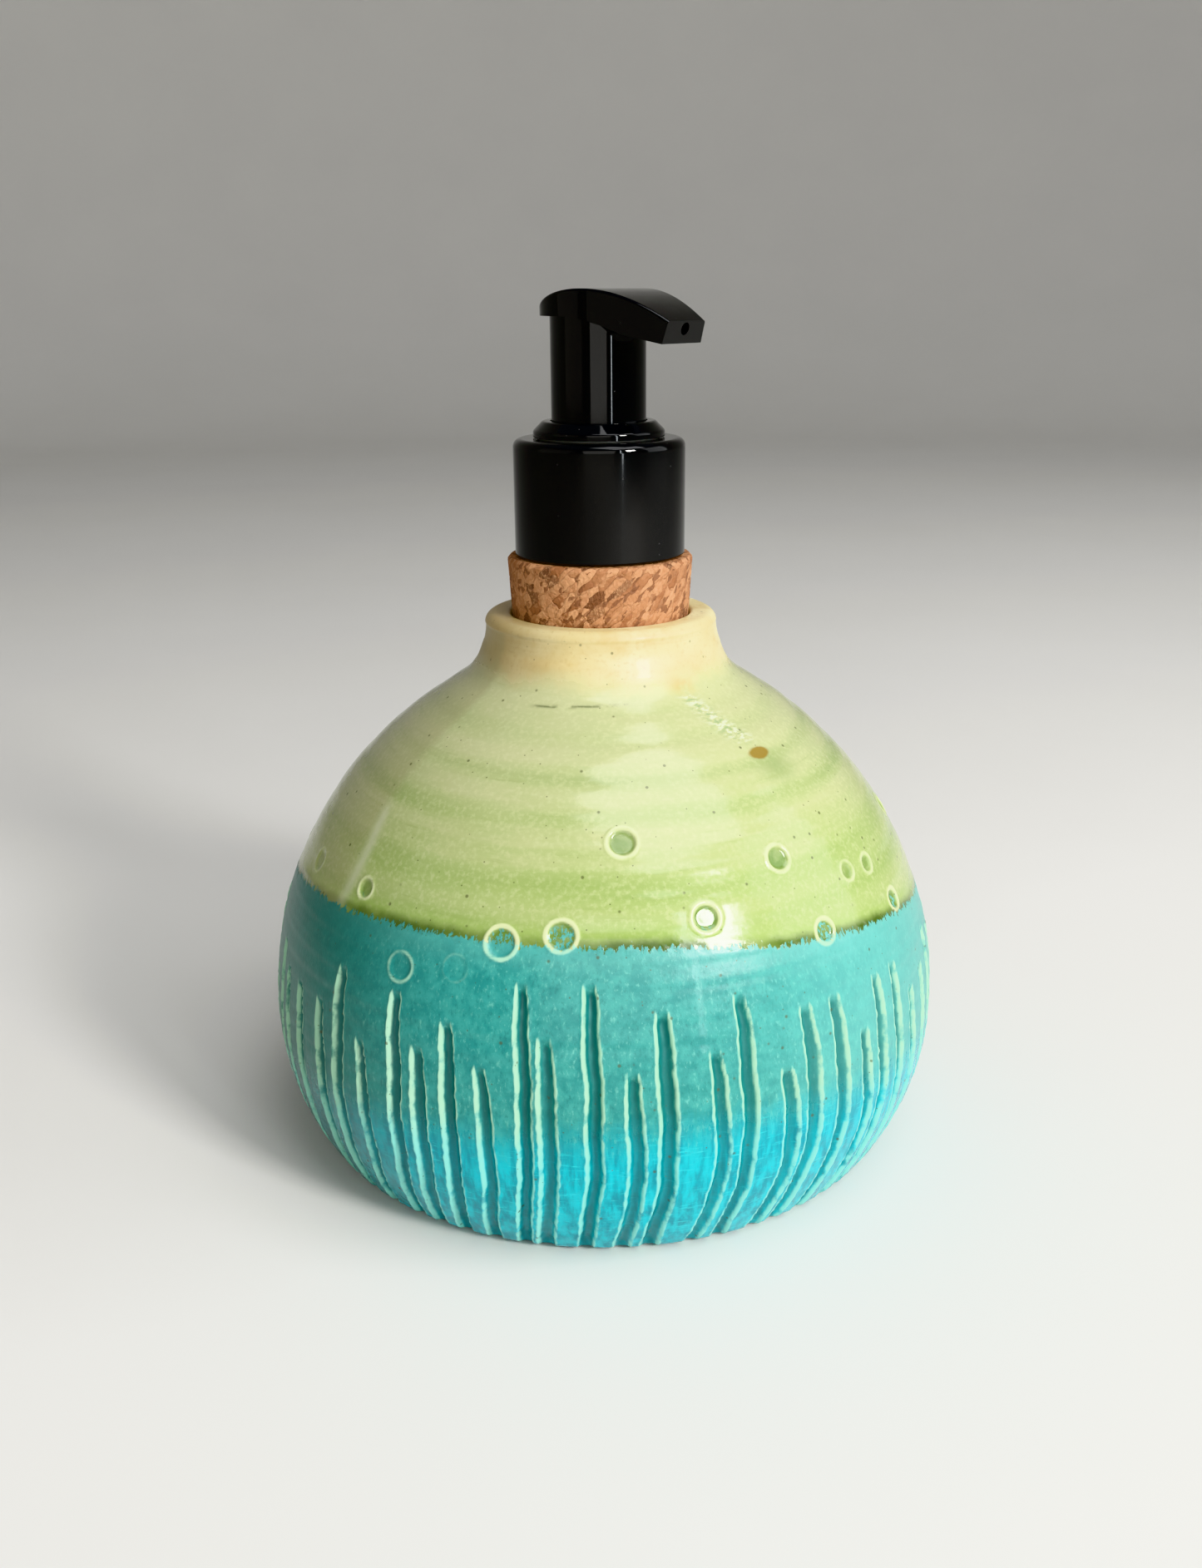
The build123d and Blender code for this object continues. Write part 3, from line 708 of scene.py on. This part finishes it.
def rubber():
    """Soft off-white foamed seal."""
    s = Shader("foamed_seal")
    pores = s.cells(2200).outputs["Distance"]
    colour = s.mix(s.ramp(pores, 0.1, 0.5), (0.55, 0.55, 0.52), (0.74, 0.74, 0.70))
    return s.principled(Base_Color=colour, Roughness=s.ramp(pores, 0.0, 0.6, 0.9, 0.7),
                        Normal=s.bump(pores, 0.4, 0.1 * MM))


def dress(node, material):
    """Gives a CAD node its finished material."""
    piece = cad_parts[node]
    piece.data.materials.clear()
    piece.data.materials.append(material)


# ---------------------------------------------------------------- stage
def floor_material():
    """Matt pale board."""
    s = Shader("pale_floor")
    tone = s.noise(9, 3)
    colour = s.mix(tone, (0.66, 0.65, 0.625), (0.70, 0.69, 0.665))
    return s.principled(Base_Color=colour, Roughness=0.7)


def make_stage():
    """A pale round floor that curves up into a backdrop on every side."""
    flat, sweep, top = 1.3, 0.7, 2.4
    bend = np.linspace(0, math.pi / 2, 16)
    level = np.linspace(0.001, flat, 12, endpoint=False)
    radius = np.concatenate([level, flat + sweep * np.sin(bend), [flat + sweep]])
    height = np.concatenate([0 * level, sweep * (1 - np.cos(bend)), [top]])
    floor = turned_object("studio_floor", radius[::-1], height[::-1], 96)
    floor.data.materials.append(floor_material())


def area_light(name, power, size, azimuth, elevation, distance, colour=(1, 1, 1)):
    """A soft rectangular lamp at a bearing from the viewer's side, aimed at the object."""
    lamp = bpy.data.lights.new(name, "AREA")
    lamp.energy = power
    lamp.shape = "RECTANGLE"
    lamp.size, lamp.size_y = size
    lamp.color = colour
    holder = bpy.data.objects.new(name, lamp)
    bpy.context.scene.collection.objects.link(holder)
    a, e = math.radians(azimuth), math.radians(elevation)
    away = Vector((math.sin(a) * math.cos(e), -math.cos(a) * math.cos(e), math.sin(e)))
    holder.location = Vector((0, 0, 0.06)) + away * distance
    holder.rotation_euler = away.to_track_quat("Z", "Y").to_euler()
    holder.visible_camera = False


def make_lights():
    """A bright window to the right, a broad pale wall to the left and in front, and light from above."""
    area_light("window", 7.5, (0.17, 0.17), 44, 27, 0.9, (1.0, 0.985, 0.96))
    area_light("strip", 1.8, (0.04, 0.9), 31, 12, 1.1, (0.90, 0.96, 1.0))
    area_light("front_wall", 4.0, (0.85, 0.75), 0, 16, 1.15, (1.0, 0.985, 0.95))
    area_light("left_wall", 0.9, (1.0, 0.8), -62, 18, 1.15, (1.0, 0.97, 0.92))
    area_light("right_wall", 3.5, (0.7, 0.8), 84, 22, 1.15, (0.97, 0.99, 1.0))
    area_light("overhead", 7.5, (0.8, 0.8), 50, 66, 1.1, (0.98, 0.99, 1.0))
    world = bpy.data.worlds.new("studio")
    world.use_nodes = True
    world.node_tree.nodes["Background"].inputs[0].default_value = (0.90, 0.92, 0.95, 1)
    world.node_tree.nodes["Background"].inputs[1].default_value = 0.25
    bpy.context.scene.world = world
    bpy.context.scene.view_settings.view_transform = "Khronos PBR Neutral"


CAMERA_LENS = 34.38
CAMERA_PLACE = (0.0005, -0.2392, 0.1350)
CAMERA_DIP = 17.97
CAMERA_ROLL = 0.5


def make_camera():
    """The viewpoint: close by, level with the pump's head, looking down."""
    lens = bpy.data.cameras.new("viewpoint")
    lens.lens = CAMERA_LENS
    lens.clip_start = 0.01
    holder = bpy.data.objects.new("viewpoint", lens)
    bpy.context.scene.collection.objects.link(holder)
    holder.location = CAMERA_PLACE
    holder.rotation_euler = Euler((math.radians(90 - CAMERA_DIP), math.radians(CAMERA_ROLL), 0), "XYZ")
    bpy.context.scene.camera = holder


# ---------------------------------------------------------------- spring
SPRING_WIRE = 0.8 * MM
SPRING_TURNS = 6


def make_spring():
    """The return spring's coil, between the ends of its CAD solid."""
    low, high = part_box("return_spring")
    bottom, top = low[2] + SPRING_WIRE / 2, high[2] - SPRING_WIRE / 2
    radius = (high[0] - low[0]) / 2 - SPRING_WIRE / 2
    turn = np.linspace(0, SPRING_TURNS * TAU, SPRING_TURNS * 48 + 1)
    turn = np.concatenate([turn[:1], turn, turn[-1:]])[:, None]
    thick = np.full_like(turn, SPRING_WIRE / 2)
    thick[[0, -1]] = 0
    round_wire = (np.arange(14) / 14 * TAU)[None, :]
    out = radius + thick * np.cos(round_wire)
    up = bottom + (top - bottom) * turn / turn[-1] + thick * np.sin(round_wire)
    points = np.stack([out * np.cos(turn), out * np.sin(turn), up], -1)
    return mesh_object("coil_spring", points.reshape(-1, 3), ring_faces(len(turn), 14)), low[2]


# ---------------------------------------------------------------- build
make_camera()
bottle = make_bottle()
bottle.data.materials.append(glaze_material())
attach(bottle, "bottle")
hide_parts("ceramic_bottle")

cork = make_cork()
cork.data.materials.append(cork_material())
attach(cork, "stopper")
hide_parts("cork_stopper")

black = black_plastic()
for name in ("screw_collar", "lock_ring", "actuator_head", "upper_stem"):
    dress(name, black)
natural = natural_plastic("natural_polypropylene", (0.80, 0.80, 0.76), 0.35)
for name in ("neck_insert", "pump_housing", "stem_guide", "ball_retainer", "lower_stem"):
    dress(name, natural)
dress("piston", natural_plastic("soft_polyethylene", (0.84, 0.84, 0.78), 0.45))
dress("dip_tube", natural_plastic("clear_tube", (0.86, 0.88, 0.88), 0.2, 0.7))
dress("sealing_gasket", rubber())
spring, spring_foot = make_spring()
spring.data.materials.append(steel("drawn_wire", (900, 900, 2400)))
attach(spring, "pump_core")
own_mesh(spring)
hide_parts("return_spring")
dress("inlet_ball", steel("polished_ball", (400, 400, 400)))

make_stage()
make_lights()
